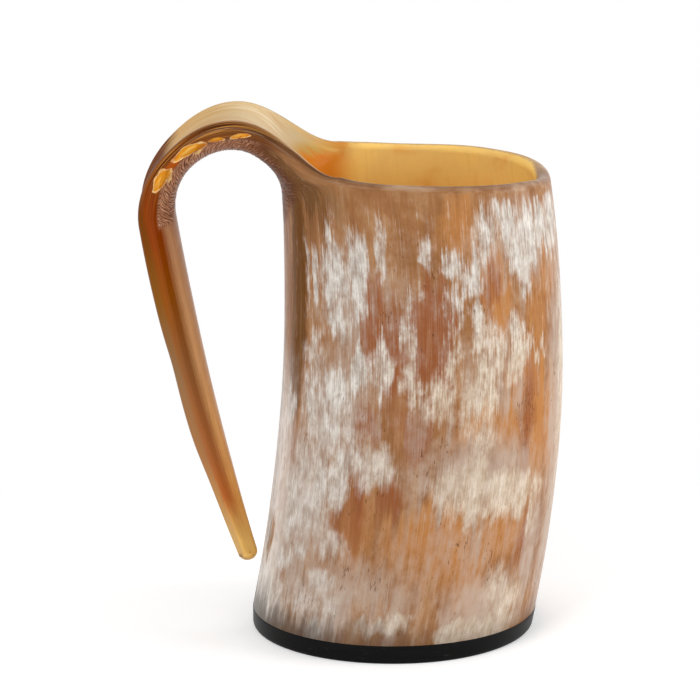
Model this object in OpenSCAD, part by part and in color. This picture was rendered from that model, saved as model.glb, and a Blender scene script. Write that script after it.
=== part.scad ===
// Horn drinking cup.
// One piece of horn forms the cup and its handle: a tongue left standing on the rim was heated,
// bent over and down, and its tip hangs free beside the wall. A stepped black base closes the
// bottom. Its spigot stands inside the horn, held and sealed by a ring of glue.
// The origin is the middle of the base on the table. +Z is up and the handle is on the -X side.

/* [Cup] */
// Height of the rim above the table, beside the handle
cup_height = 150; // [135:1:165]
// How far the rim falls from the handle's side to the far end
rim_drop = 4; // [0:0.5:6]
// How far the rim climbs where it runs into the handle
root_rise = 0.5; // [0:0.5:3]
// Width of the horn at its foot, handle side to far end
foot_width = 90.5; // [84:0.5:96]
// Depth of the horn at its foot, front to back
foot_depth = 88.5; // [80:0.5:96]
// Width of the mouth
mouth_width = 83.5; // [78:0.5:90]
// Depth of the mouth
mouth_depth = 74; // [68:0.5:82]
// Wall at the front and the back
side_wall = 3.8; // [3:0.1:5]
// Wall at the two ends of the oval
end_wall = 5; // [4:0.1:6]

/* [Bow of the horn] */
// Radius of the horn's natural bow
bow_radius = 475; // [400:5:800]
// Height at which the bow stands furthest from the handle
bow_height = 100; // [85:1:115]

/* [Handle] */
// Radius of the bend up from the cup, along the under face
root_radius = 14.5; // [13.5:0.1:17]
// Radius of the bend down into the leg, along the under face
shoulder_radius = 18.9; // [17:0.1:21]
// How far below the rim the tongue starts to bend
arch_drop = 9; // [7.5:0.5:11]
// How far the rim's line dips behind the handle
root_dip = 4.5; // [3:0.5:6]
// Radius of the long bow of the leg
leg_radius = 900; // [500:10:1500]
// Height of the leg's tip above the table
tip_height = 24.5; // [18:0.5:40]
// Gap between the tip and the wall of the cup
tip_gap = 2; // [1.5:0.5:8]
// Width at the neck, where the rim has become the handle
neck_width = 56; // [52:0.5:62]
// Width at the crest of the arch
crest_width = 41; // [36:0.5:46]
// Width where the arch bends down
bend_width = 34; // [30:0.5:38]
// Width at the shoulder, where the leg starts
shoulder_width = 29; // [24:0.5:34]
// Width halfway down the leg
grip_width = 22; // [18:0.5:28]
// Width at the tip
tip_width = 9.5; // [7:0.5:14]
// Thickness at the neck
neck_thickness = 5.4; // [5:0.1:8]
// Thickness at the crest
crest_thickness = 9; // [7:0.1:10]
// Thickness where the arch bends down
bend_thickness = 7.9; // [7:0.1:10]
// Thickness at the shoulder
shoulder_thickness = 10; // [8:0.1:12]
// Thickness halfway down the leg
grip_thickness = 8.9; // [7:0.1:11]
// Thickness at the tip
tip_thickness = 5.7; // [4:0.1:7]

/* [Base] */
// Height of the black band that shows below the horn
band_height = 6; // [4:0.1:9]
// Height of the spigot inside the horn
spigot_height = 6; // [4:0.1:9]
// Glue between the spigot and the horn
glue_gap = 0.3; // [0.2:0.05:0.6]
// Glue bead in the corner above the spigot
bead_size = 2; // [1:0.1:3]

/* [Hidden] */

// Powers of the oval outline: 2 is an ellipse, more is squarer
foot_power = 2;
mouth_power = 2.5;
// Half the part of the oval, in degrees, that runs on into the handle
tongue_half_angle = 58;
// Angle over which the rim's climb dies away
rise_angle = 12;
// Hollow of the handle's top face as a share of its half width
hollow_share = 0.12;
// Crown of the handle's under face as a share of its thickness
crown_share = 0.36;
// Part of the arch over which the cup's oval flattens into the handle
flatten_share = 0.06;
// Turns of the handle's line at the neck and where the arch bends down, in degrees
neck_turn = 50;
bend_turn = 135;
// Roundness of the free edge: half a wall is a full half circle
edge_round_share = 0.5;

// Points round the oval, those of them on the tongue, and rows of points from the foot upwards
columns = 60;
tongue_columns = 19;
straight_rows = 9;
rim_rows = 4;
root_rows = 10;
shoulder_rows = 10;
leg_rows = 12;
lip_points = 3;
lip_reach = 2;
cup_rows = 1 + straight_rows + rim_rows;
arch_rows = root_rows + shoulder_rows;
tongue_rows = arch_rows + leg_rows;

spigot_top = band_height + spigot_height;
seat_top = spigot_top + bead_size;
rim_round = side_wall * edge_round_share;
root_height = cup_height + root_rise - rim_round;

// Line of the handle's under face: three arcs that touch, seen from the front as [x, z]
arch_z = cup_height - arch_drop;
root_centre = [skin_end(arch_z) - root_radius, arch_z];
shoulder_centre = root_centre + [0, root_radius - shoulder_radius];
tip = [skin_end(tip_height) - tip_gap, tip_height];
to_tip = tip - shoulder_centre;
leg_offset = leg_radius - shoulder_radius;
leg_reach = norm(to_tip);
leg_swing = acos((leg_reach ^ 2 + leg_offset ^ 2 - leg_radius ^ 2) / (2 * leg_reach * leg_offset));
leg_centre = shoulder_centre + leg_offset * direction(turn(to_tip) + leg_swing);
leg_start = turn(shoulder_centre - leg_centre);
leg_end = turn(tip - leg_centre);
root_turn = asin((root_height - root_dip - arch_z) / root_radius);

// Lengths along the handle at which its width and thickness are given
crest_place = root_radius * (90 - root_turn) * PI / 180;
neck_place = root_radius * (neck_turn - root_turn) * PI / 180;
bend_place = crest_place + shoulder_radius * (bend_turn - 90) * PI / 180;
arch_length = crest_place + shoulder_radius * (leg_start - 90) * PI / 180;
leg_length = leg_radius * (leg_end - leg_start) * PI / 180;
handle_length = arch_length + leg_length;
grip_place = arch_length + leg_length / 2;
places = [0, neck_place, crest_place, bend_place, arch_length, grip_place, handle_length];
half_widths = [
    half_depth(root_height) * power_of(sin(tongue_half_angle), root_height),
    neck_width / 2 - edge_round(neck_thickness),
    crest_width / 2 - edge_round(crest_thickness),
    bend_width / 2 - edge_round(bend_thickness),
    shoulder_width / 2 - edge_round(shoulder_thickness),
    grip_width / 2 - edge_round(grip_thickness),
    tip_width / 2 - edge_round(tip_thickness)
];
thicknesses = [
    end_wall,
    neck_thickness,
    crest_thickness,
    bend_thickness,
    shoulder_thickness,
    grip_thickness,
    tip_thickness
];

// Small helpers
function direction(angle) = [cos(angle), sin(angle)];
function turn(v) = (atan2(v.y, v.x) + 360) % 360;
function unit(v) = v / norm(v);
function flat(rows) = [for (row = rows) each row];
function shifted(row, by) = [for (i = row) i + by];
function edge_round(thickness) = thickness * (1 - crown_share) * edge_round_share;

// Smooth value at a place between given places
function slope(at, value, i) =
    let (a = max(i - 1, 0), b = min(i + 1, len(at) - 1)) (value[b] - value[a]) / (at[b] - at[a]);
function along(at, value, s) =
    let (
        i = max([for (k = [0 : len(at) - 2]) at[k] <= s ? k : 0]),
        span = at[i + 1] - at[i],
        u = (s - at[i]) / span
    )
    value[i] * (1 + 2 * u) * (1 - u) ^ 2 + value[i + 1] * (3 - 2 * u) * u ^ 2
    + span * (slope(at, value, i) * u * (1 - u) ^ 2 - slope(at, value, i + 1) * (1 - u) * u ^ 2);

// Outline of the horn at a height
function half_width(z) = (foot_width + (mouth_width - foot_width) * (z / cup_height) ^ 2) / 2;
function half_depth(z) = (foot_depth + (mouth_depth - foot_depth) * z / cup_height) / 2;
function power_of(v, z) =
    sign(v) * abs(v) ^ (2 / (foot_power + (mouth_power - foot_power) * z / cup_height));
function bow_at(z) = sqrt(bow_radius ^ 2 - (z - bow_height) ^ 2);
function bow(z) = bow_at(z) - bow_at(band_height);
function skin_end(z) = bow(z) - half_width(z);

// One point of an oval at a height, inset from the horn's skin at the ends and at the sides.
// Angle 0 is the handle's side.
function oval(angle, z, end_inset, side_inset) = [
    bow(z) - (half_width(z) - end_inset) * power_of(cos(angle), z),
    (half_depth(z) - side_inset) * power_of(sin(angle), z)
];

// Angle of a column; the tongue's columns come first
function column_angle(j) =
    j < tongue_columns
        ? tongue_half_angle * (2 * j / (tongue_columns - 1) - 1)
        : tongue_half_angle
            + (360 - 2 * tongue_half_angle) * (j - tongue_columns + 1) / (columns - tongue_columns + 1);

// How much of the tongue's bend a column takes
function bend_share(angle) =
    abs(angle) < tongue_half_angle ? (1 - (angle / tongue_half_angle) ^ 2) ^ 2 : 0;

// Height of the wall's last row, under the rounded rim. Behind the handle it dips to the root.
function dip_share(angle) =
    (cos(tongue_half_angle) - cos(angle)) / (cos(tongue_half_angle) - 1);
function rim_height(angle) =
    let (past = min(abs(angle), 360 - angle) - tongue_half_angle)
    past <= 0
        ? root_height - root_dip * dip_share(angle)
        : cup_height - rim_round - rim_drop * past / (180 - tongue_half_angle)
            + root_rise * exp(-past / rise_angle);

// A point of the wall: skin outside, bore inside. Above the bend's start the tongue leans out.
function leaned(point, angle, z, radius, end) =
    let (lean = root_centre.x + sqrt(radius ^ 2 - max(z - arch_z, 0) ^ 2) - end)
    [point.x + (z > arch_z ? lean * bend_share(angle) : 0), point.y, z];
function skin_wall(angle, z) =
    leaned(oval(angle, z, 0, 0), angle, z, root_radius, skin_end(z));
function bore_wall(angle, z) =
    let (cut = oval(angle, max(z, seat_top), end_wall, side_wall))
    leaned(cut, angle, z, root_radius + end_wall, skin_end(z) + end_wall);

// Height of a column's point in a row of the cup
function wall_height(r, angle) =
    r == 0
        ? band_height
        : r <= 1 + straight_rows
            ? seat_top + (arch_z - seat_top) * (r - 1) / straight_rows
            : arch_z + (rim_height(angle) - arch_z) * (r - 1 - straight_rows) / rim_rows;

// Turning angle, arc and length along the handle, for a row above the root
function row_turn(k, start) =
    k <= root_rows
        ? start + (90 - start) * k / root_rows
        : k <= arch_rows
            ? 90 + (leg_start - 90) * (k - root_rows) / shoulder_rows
            : leg_start + (leg_end - leg_start) * (k - arch_rows) / leg_rows;
function row_arc(k) =
    k <= root_rows
        ? [root_centre, root_radius]
        : k <= arch_rows ? [shoulder_centre, shoulder_radius] : [leg_centre, leg_radius];
function row_place(k) =
    k <= root_rows
        ? crest_place * k / root_rows
        : k <= arch_rows
            ? crest_place + (arch_length - crest_place) * (k - root_rows) / shoulder_rows
            : arch_length + leg_length * (k - arch_rows) / leg_rows;

// A point of the handle. The root row's own curve is carried along the arcs, narrowing and
// flattening. side is 0 for the skin, under the arch, and 1 for the bore, on top of it.
function handle_point(root, middle, corner, k, side) =
    let (
        place = row_place(k),
        start = asin((middle.z - arch_z) / (root_radius + side * end_wall)),
        angle = row_turn(k, start),
        thickness = along(places, thicknesses, place),
        half = along(places, half_widths, place),
        fade = exp(-place / arch_length / flatten_share),
        hollow = hollow_share * half + (1 - side) * crown_share * thickness,
        depth = norm([corner.x - middle.x, corner.z - middle.z]),
        root_tilt = atan2(corner.z - middle.z, corner.x - middle.x),
        own_depth = norm([root.x - middle.x, root.z - middle.z]),
        camber = own_depth / depth * (hollow + (depth - hollow) * fade),
        tilt = root_tilt * fade + angle * (1 - fade),
        arc = row_arc(k),
        line = arc[0] + (arc[1] + side * thickness) * direction(angle),
        at = line + camber * direction(tilt)
    )
    [at.x, root.y * half / half_widths[0], at.y];

// Rows of points of one face of the horn
function wall_rows(side) = [
    for (r = [0 : cup_rows]) [
        for (j = [0 : columns - 1])
            let (angle = column_angle(j), z = wall_height(r, angle))
            side == 0 ? skin_wall(angle, z) : bore_wall(angle, z)
    ]
];
function handle_rows(root, side) = [
    for (k = [1 : tongue_rows]) [
        for (j = [0 : tongue_columns - 1])
            handle_point(root[j], root[(tongue_columns - 1) / 2], root[0], k, side)
    ]
];
function face_points(side) =
    let (wall = wall_rows(side)) concat(flat(wall), flat(handle_rows(wall[cup_rows], side)));

// Point numbers of a row of the wall and of the handle
face_size = columns * (cup_rows + 1) + tongue_columns * tongue_rows;
function wall_row(r) = [for (j = [0 : columns - 1]) r * columns + j];
function handle_row(k) =
    let (first = k == 0 ? columns * cup_rows : columns * (cup_rows + 1) + tongue_columns * (k - 1))
    [for (j = [0 : tongue_columns - 1]) first + j];

// Triangles between two rows of point numbers
function strip(low, high, closed) = [
    for (i = [0 : len(low) - (closed ? 1 : 2)])
        let (j = (i + 1) % len(low))
        each [[low[i], low[j], high[j]], [low[i], high[j], high[i]]]
];
function reversed(faces) = [for (f = faces) [f[2], f[1], f[0]]];
function face_strips() = concat(
    flat([for (r = [0 : cup_rows - 1]) strip(wall_row(r), wall_row(r + 1), true)]),
    flat([for (k = [0 : tongue_rows - 1]) strip(handle_row(k), handle_row(k + 1), false)])
);

// The free edge, all round the rim, along the handle and back, as point numbers
last_column = tongue_columns - 1;
free_edge = concat(
    [for (j = [last_column : columns]) wall_row(cup_rows)[j % columns]],
    [for (k = [1 : tongue_rows]) handle_row(k)[0]],
    [for (j = [1 : last_column - 1]) handle_row(tongue_rows)[j]],
    [for (k = [tongue_rows : -1 : 1]) handle_row(k)[last_column]]
);

// Rounded lip between the two faces at one place on the free edge. The edge's run is taken over a
// few points, so that the lip turns the corner from the rim to the handle gently.
function lip(skin, bore, n) =
    let (
        count = len(free_edge),
        here = free_edge[n],
        next = free_edge[(n + lip_reach) % count],
        last = free_edge[(n + count - lip_reach) % count],
        across = skin[here] - bore[here],
        run = skin[next] + bore[next] - skin[last] - bore[last],
        outward = unit(cross(run, across)),
        middle = (skin[here] + bore[here]) / 2
    )
    [
        for (i = [1 : lip_points])
            let (angle = 180 * i / (lip_points + 1))
            middle + across / 2 * cos(angle) + outward * norm(across) * edge_round_share * sin(angle)
    ];

// The horn: cup wall and handle as one sheet with a rounded free edge
module horn_cup() {
    skin = face_points(0);
    bore = face_points(1);
    edge = [for (n = [0 : len(free_edge) - 1]) n];
    lips = [for (n = edge) lip(skin, bore, n)];
    lip_rows = [for (i = [0 : lip_points - 1]) [for (n = edge) 2 * face_size + n * lip_points + i]];
    rows = concat([free_edge], lip_rows, [shifted(free_edge, face_size)]);
    bore_strips = [for (f = reversed(face_strips())) shifted(f, face_size)];
    faces = concat(
        face_strips(),
        bore_strips,
        strip(shifted(wall_row(0), face_size), wall_row(0), true),
        flat([for (i = [0 : len(rows) - 2]) strip(rows[i], rows[i + 1], true)])
    );
    color([0.72, 0.53, 0.36])
        polyhedron(points = concat(skin, bore, flat(lips)), faces = faces);
}

// Outlines of the band, flush with the horn, and of the seat cut inside the horn for the spigot
function outline(z, end_inset, side_inset) = [
    for (j = [0 : columns - 1]) oval(column_angle(j), z, end_inset, side_inset)
];
function seat_outline(inset) = outline(seat_top, end_wall + inset, side_wall + inset);

// The black base: a band flush with the horn and a spigot inside it
module base_plug() {
    color([0.1, 0.1, 0.1])
        union() {
            linear_extrude(height = band_height)
                polygon(outline(band_height, 0, 0));
            linear_extrude(height = spigot_top)
                polygon(seat_outline(glue_gap));
        }
}

// The glue: a sleeve round the spigot with a bead in the corner above it
function seat_ring(z, inset) = [for (point = seat_outline(inset)) [point.x, point.y, z]];
module glue_seal() {
    rings = [
        seat_ring(band_height, 0),
        seat_ring(seat_top, 0),
        seat_ring(spigot_top, glue_gap + bead_size),
        seat_ring(spigot_top, glue_gap),
        seat_ring(band_height, glue_gap)
    ];
    count = len(rings);
    ring_numbers = [for (i = [0 : count]) [for (j = [0 : columns - 1]) i % count * columns + j]];
    faces = flat([for (i = [0 : count - 1]) strip(ring_numbers[i], ring_numbers[i + 1], true)]);
    color([0.45, 0.32, 0.16])
        polyhedron(points = flat(rings), faces = faces);
}

horn_cup();
base_plug();
glue_seal();
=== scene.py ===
"""Horn drinking cup: the looks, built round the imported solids.

The horn is one fine mesh that follows the same laws as its solid, with wrinkles under the bent handle and
chips on its near edge. Each of its points carries its place in the unbent horn, so that the grain runs on
from the cup into the handle. Sizes are in millimetres and become metres when a mesh is made.
"""
from math import acos, asin, atan2, cos, degrees, exp, hypot, pi, radians, sin, sqrt

import bpy
import numpy as np
from mathutils import Matrix, Vector


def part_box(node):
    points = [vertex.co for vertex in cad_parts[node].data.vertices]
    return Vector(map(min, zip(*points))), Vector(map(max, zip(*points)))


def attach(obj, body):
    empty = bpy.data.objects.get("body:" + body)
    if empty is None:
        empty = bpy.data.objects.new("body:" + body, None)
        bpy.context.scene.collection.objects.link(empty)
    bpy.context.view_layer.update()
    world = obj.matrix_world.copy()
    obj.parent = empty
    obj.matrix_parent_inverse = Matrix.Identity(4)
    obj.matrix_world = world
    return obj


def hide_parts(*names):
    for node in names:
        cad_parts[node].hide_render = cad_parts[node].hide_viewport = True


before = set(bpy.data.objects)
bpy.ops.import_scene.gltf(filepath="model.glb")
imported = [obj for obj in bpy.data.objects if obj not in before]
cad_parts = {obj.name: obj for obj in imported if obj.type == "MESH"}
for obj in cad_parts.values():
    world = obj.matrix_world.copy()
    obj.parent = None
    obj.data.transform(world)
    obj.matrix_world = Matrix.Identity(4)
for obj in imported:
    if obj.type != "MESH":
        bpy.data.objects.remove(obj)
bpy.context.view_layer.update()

MM = 0.001

# Cup
CUP_HEIGHT = 150
RIM_DROP = 4
ROOT_RISE = 0.5
FOOT_WIDTH = 90.5
FOOT_DEPTH = 88.5
MOUTH_WIDTH = 83.5
MOUTH_DEPTH = 74
SIDE_WALL = 3.8
END_WALL = 5
FOOT_POWER = 2
MOUTH_POWER = 2.5
BOW_RADIUS = 475
BOW_HEIGHT = 100

# Handle: arcs of its under face, then sizes at the neck, crest, bend, shoulder, grip and tip
ROOT_RADIUS = 14.5
SHOULDER_RADIUS = 18.9
ARCH_DROP = 9
ROOT_DIP = 4.5
LEG_RADIUS = 900
TIP_HEIGHT = 24.5
TIP_GAP = 2
WIDTHS = (56, 41, 34, 29, 22, 9.5)
THICKNESSES = (5.4, 9, 7.9, 10, 8.9, 5.7)
NECK_TURN = 50
BEND_TURN = 135
TONGUE_ANGLE = 58
RISE_ANGLE = 12
HOLLOW_SHARE = 0.12
CROWN_SHARE = 0.36
FLATTEN_SHARE = 0.06
EDGE_ROUND_SHARE = 0.5

# Base and glue
BAND_HEIGHT = 6
SPIGOT_HEIGHT = 6
GLUE_GAP = 0.3
BEAD_SIZE = 2
BASE_SLOPE = 1.2
SPIGOT_TOP = BAND_HEIGHT + SPIGOT_HEIGHT
SEAT_TOP = SPIGOT_TOP + BEAD_SIZE

# Points of the fine mesh: round the oval, on the tongue, up the wall, along the handle, across the edge
COLUMNS = 168
TONGUE_COLUMNS = 55
STRAIGHT_ROWS = 64
RIM_ROWS = 22
ROOT_ROWS = 74
SHOULDER_ROWS = 130
LEG_ROWS = 70
LIP_POINTS = 31
LIP_REACH = 8
CUP_ROWS = 1 + STRAIGHT_ROWS + RIM_ROWS
ARCH_ROWS = ROOT_ROWS + SHOULDER_ROWS
TONGUE_ROWS = ARCH_ROWS + LEG_ROWS

# Points beside the leg's edge whose groove is filled, passes, and rows where it starts
GROOVE_COLUMNS = 12
GROOVE_LIPS = 20
GROOVE_PASSES = 500
GROOVE_ROWS = (150, 204)

# Rows and columns beside the handle's root in which its crease is rounded off, and passes
EASE_ROWS = 22
EASE_COLUMNS = 9
EASE_PASSES = 160

# The round, straight horn that holds the grain: its radius and wall, and the way round a handle's edge
GRAIN_RADIUS = 42
GRAIN_WALL = 12
EDGE_WAY = 14


def direction(angle):
    """Unit vector at an angle in degrees, in the plane of the handle."""
    return np.array([cos(radians(angle)), sin(radians(angle))])


def turn(v):
    """Angle of a vector in degrees, from 0 to 360."""
    return degrees(atan2(v[1], v[0])) % 360


def smooth(value, low, high):
    """0 below low, 1 above high and a smooth step between."""
    t = np.clip((value - low) / (high - low), 0, 1)
    return t * t * (3 - 2 * t)


# The cup's outline at a height

def half_width(z):
    return (FOOT_WIDTH + (MOUTH_WIDTH - FOOT_WIDTH) * (z / CUP_HEIGHT) ** 2) / 2


def half_depth(z):
    return (FOOT_DEPTH + (MOUTH_DEPTH - FOOT_DEPTH) * z / CUP_HEIGHT) / 2


def power_of(v, z):
    power = FOOT_POWER + (MOUTH_POWER - FOOT_POWER) * z / CUP_HEIGHT
    return np.sign(v) * np.abs(v) ** (2 / power)


def bow(z):
    return np.sqrt(BOW_RADIUS ** 2 - (z - BOW_HEIGHT) ** 2) - sqrt(
        BOW_RADIUS ** 2 - (BAND_HEIGHT - BOW_HEIGHT) ** 2
    )


def skin_end(z):
    return bow(z) - half_width(z)


def oval(angle, z, end_inset=0, side_inset=0):
    """x and y on the oval at a height; angle 0 is the handle's side and -90 the front."""
    x = bow(z) - (half_width(z) - end_inset) * power_of(np.cos(np.radians(angle)), z)
    y = (half_depth(z) - side_inset) * power_of(np.sin(np.radians(angle)), z)
    return x, y


# The handle's line, as three arcs that touch, seen from the front as (x, z)
RIM_ROUND = SIDE_WALL * EDGE_ROUND_SHARE
ROOT_HEIGHT = CUP_HEIGHT + ROOT_RISE - RIM_ROUND
ARCH_Z = CUP_HEIGHT - ARCH_DROP
ROOT_CENTRE = np.array([skin_end(ARCH_Z) - ROOT_RADIUS, ARCH_Z])
SHOULDER_CENTRE = ROOT_CENTRE + [0, ROOT_RADIUS - SHOULDER_RADIUS]
TIP = np.array([skin_end(TIP_HEIGHT) - TIP_GAP, TIP_HEIGHT])
TO_TIP = TIP - SHOULDER_CENTRE
LEG_OFFSET = LEG_RADIUS - SHOULDER_RADIUS
LEG_REACH = np.linalg.norm(TO_TIP)
LEG_SWING = degrees(
    acos((LEG_REACH ** 2 + LEG_OFFSET ** 2 - LEG_RADIUS ** 2) / (2 * LEG_REACH * LEG_OFFSET))
)
LEG_CENTRE = SHOULDER_CENTRE + LEG_OFFSET * direction(turn(TO_TIP) + LEG_SWING)
LEG_START = turn(SHOULDER_CENTRE - LEG_CENTRE)
LEG_END = turn(TIP - LEG_CENTRE)
ROOT_TURN = degrees(asin((ROOT_HEIGHT - ROOT_DIP - ARCH_Z) / ROOT_RADIUS))

# Lengths along the handle at which its width and thickness are given
CREST_PLACE = ROOT_RADIUS * radians(90 - ROOT_TURN)
NECK_PLACE = ROOT_RADIUS * radians(NECK_TURN - ROOT_TURN)
BEND_PLACE = CREST_PLACE + SHOULDER_RADIUS * radians(BEND_TURN - 90)
ARCH_LENGTH = CREST_PLACE + SHOULDER_RADIUS * radians(LEG_START - 90)
LEG_LENGTH = LEG_RADIUS * radians(LEG_END - LEG_START)
HANDLE_LENGTH = ARCH_LENGTH + LEG_LENGTH
PLACES = np.array(
    [0, NECK_PLACE, CREST_PLACE, BEND_PLACE, ARCH_LENGTH, ARCH_LENGTH + LEG_LENGTH / 2, HANDLE_LENGTH]
)
ROOT_HALF = half_depth(ROOT_HEIGHT) * power_of(sin(radians(TONGUE_ANGLE)), ROOT_HEIGHT)
HALF_WIDTHS = np.array(
    [ROOT_HALF]
    + [w / 2 - t * (1 - CROWN_SHARE) * EDGE_ROUND_SHARE for w, t in zip(WIDTHS, THICKNESSES)]
)
HANDLE_THICKNESSES = np.array([END_WALL, *THICKNESSES])


def along(values, place):
    """Smooth value at a length along the handle."""
    last = len(PLACES) - 1
    after = np.minimum(np.arange(last + 1) + 1, last)
    before = np.maximum(np.arange(last + 1) - 1, 0)
    slopes = (values[after] - values[before]) / (PLACES[after] - PLACES[before])
    i = np.clip(np.searchsorted(PLACES, place, side="right") - 1, 0, last - 1)
    span = PLACES[i + 1] - PLACES[i]
    u = (place - PLACES[i]) / span
    steady = values[i] * (1 + 2 * u) * (1 - u) ** 2 + values[i + 1] * (3 - 2 * u) * u ** 2
    return steady + span * (slopes[i] * u * (1 - u) ** 2 - slopes[i + 1] * (1 - u) * u ** 2)


# Angles of the columns, first the tongue's and then the others
ANGLES = np.concatenate([
    np.linspace(-TONGUE_ANGLE, TONGUE_ANGLE, TONGUE_COLUMNS),
    np.linspace(TONGUE_ANGLE, 360 - TONGUE_ANGLE, COLUMNS - TONGUE_COLUMNS + 2)[1:-1],
])
ON_TONGUE = np.arange(COLUMNS) < TONGUE_COLUMNS
BEND_SHARE = (1 - np.minimum(np.abs(ANGLES) / TONGUE_ANGLE, 1) ** 2) ** 2


def rim_heights():
    """Height of the wall's last row, which dips behind the handle."""
    corner = cos(radians(TONGUE_ANGLE))
    dip = (corner - np.cos(np.radians(ANGLES))) / (corner - 1)
    past = np.maximum(np.minimum(np.abs(ANGLES), 360 - ANGLES) - TONGUE_ANGLE, 0)
    fall = RIM_DROP * past / (180 - TONGUE_ANGLE)
    rim = CUP_HEIGHT - RIM_ROUND - fall + ROOT_RISE * np.exp(-past / RISE_ANGLE)
    return np.where(ON_TONGUE, ROOT_HEIGHT - ROOT_DIP * dip, rim)


def wall_rows(side):
    """Rows of points up the wall: side 0 is the skin and 1 the bore."""
    rim = rim_heights()
    rows = []
    for r in range(CUP_ROWS + 1):
        if r == 0:
            z = np.full(COLUMNS, float(BAND_HEIGHT))
        elif r <= 1 + STRAIGHT_ROWS:
            z = np.full(COLUMNS, SEAT_TOP + (ARCH_Z - SEAT_TOP) * (r - 1) / STRAIGHT_ROWS)
        else:
            z = ARCH_Z + (rim - ARCH_Z) * (r - 1 - STRAIGHT_ROWS) / RIM_ROWS
        x, y = oval(ANGLES, np.maximum(z, SEAT_TOP) if side else z, side * END_WALL, side * SIDE_WALL)
        radius = ROOT_RADIUS + side * END_WALL
        reach = np.sqrt(radius ** 2 - np.maximum(z - ARCH_Z, 0) ** 2)
        lean = ROOT_CENTRE[0] + reach - skin_end(z) - side * END_WALL
        rows.append(np.stack([x + np.where(z > ARCH_Z, lean * BEND_SHARE, 0), y, z], 1))
    return np.array(rows)


def handle_row(k, start):
    """Arc's centre and radius, turning angle and length along the handle for a row above the root."""
    if k <= ROOT_ROWS:
        share = k / ROOT_ROWS
        return ROOT_CENTRE, ROOT_RADIUS, start + (90 - start) * share, CREST_PLACE * share
    if k <= ARCH_ROWS:
        share = (k - ROOT_ROWS) / SHOULDER_ROWS
        place = CREST_PLACE + (ARCH_LENGTH - CREST_PLACE) * share
        return SHOULDER_CENTRE, SHOULDER_RADIUS, 90 + (LEG_START - 90) * share, place
    share = (k - ARCH_ROWS) / LEG_ROWS
    angle = LEG_START + (LEG_END - LEG_START) * share
    return LEG_CENTRE, LEG_RADIUS, angle, ARCH_LENGTH + LEG_LENGTH * share


def handle_rows(root, side):
    """Rows of points along the handle: the root row's curve, carried along the arcs."""
    middle, corner = root[TONGUE_COLUMNS // 2], root[0]
    start = degrees(asin((middle[2] - ARCH_Z) / (ROOT_RADIUS + side * END_WALL)))
    depth = hypot(corner[0] - middle[0], corner[2] - middle[2])
    root_tilt = degrees(atan2(corner[2] - middle[2], corner[0] - middle[0]))
    own_depth = np.hypot(root[:, 0] - middle[0], root[:, 2] - middle[2])
    rows, places = [], []
    for k in range(1, TONGUE_ROWS + 1):
        centre, radius, angle, place = handle_row(k, start)
        thickness, half = along(HANDLE_THICKNESSES, place), along(HALF_WIDTHS, place)
        fade = exp(-place / ARCH_LENGTH / FLATTEN_SHARE)
        hollow = HOLLOW_SHARE * half + (1 - side) * CROWN_SHARE * thickness
        camber = own_depth / depth * (hollow + (depth - hollow) * fade)
        tilt = root_tilt * fade + angle * (1 - fade)
        line = centre + (radius + side * thickness) * direction(angle)
        at = line + camber[:, None] * direction(tilt)
        rows.append(np.stack([at[:, 0], root[:, 1] * half / ROOT_HALF, at[:, 1]], 1))
        places.append(place)
    return np.array(rows), np.array(places)


def ease_root(wall, handle):
    """The tongue's columns with the crease between wall and handle rounded off."""
    lines = np.concatenate([wall[:, :TONGUE_COLUMNS], handle])
    away = np.abs(np.arange(1, len(lines) - 1) - CUP_ROWS)
    column = np.arange(TONGUE_COLUMNS)
    inside = smooth(np.minimum(column, column[::-1]), 0, EASE_COLUMNS)
    weight = ((1 - smooth(away, EASE_ROWS / 2, EASE_ROWS))[:, None] * inside)[..., None] / 4
    for _ in range(EASE_PASSES):
        lines[1:-1] += weight * (lines[2:] + lines[:-2] - 2 * lines[1:-1])
    wall[:, :TONGUE_COLUMNS] = lines[: CUP_ROWS + 1]
    handle[:] = lines[CUP_ROWS + 1:]


def joined(wall, handle):
    """Points or values of the wall and then of the handle, in one list."""
    shape = (-1,) + wall.shape[2:]
    return np.concatenate([wall.reshape(shape), handle.reshape(shape)])


def horn_face(side):
    """Points of one face of the horn, with their grain, depth and share of the handle."""
    wall = wall_rows(side)
    handle, places = handle_rows(wall[-1][:TONGUE_COLUMNS], side)
    ease_root(wall, handle)
    root = wall[-1][:TONGUE_COLUMNS]
    ring = np.stack([-np.cos(np.radians(ANGLES)), np.sin(np.radians(ANGLES))], 1)
    ring *= GRAIN_RADIUS - side * GRAIN_WALL
    wall_grain = np.concatenate([np.broadcast_to(ring, wall.shape[:2] + (2,)), wall[..., 2:]], 2)
    handle_grain = np.broadcast_to(wall_grain[-1][:TONGUE_COLUMNS], handle.shape).copy()
    handle_grain[..., 1] *= handle[:, :1, 1] / root[0, 1]
    handle_grain[..., 2] += places[:, None]
    inside = (np.abs(handle[:, :1, 1]) - np.abs(handle[..., 1])) / EDGE_WAY
    below = wall[-1][:, 2] - wall[..., 2]
    below += np.where(ON_TONGUE, np.abs(root[0, 1]) - np.abs(wall[-1][:, 1]), 0)
    wall_depth = 1 + below / EDGE_WAY if side else -below / EDGE_WAY
    handle_depth = 1 + inside if side else -inside
    wall_share = BEND_SHARE * smooth(wall[..., 2], ARCH_Z - ARCH_DROP, ROOT_HEIGHT) / 2
    root_share = wall_share[-1][:TONGUE_COLUMNS]
    handle_share = root_share + (1 - root_share) * smooth(places, 0, 2 * NECK_PLACE)[:, None]
    return (
        joined(wall, handle), joined(wall_grain, handle_grain),
        joined(wall_depth, handle_depth), joined(wall_share, handle_share),
    )


def wall_row(r):
    """Point numbers of a row of the wall."""
    return r * COLUMNS + np.arange(COLUMNS)


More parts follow.
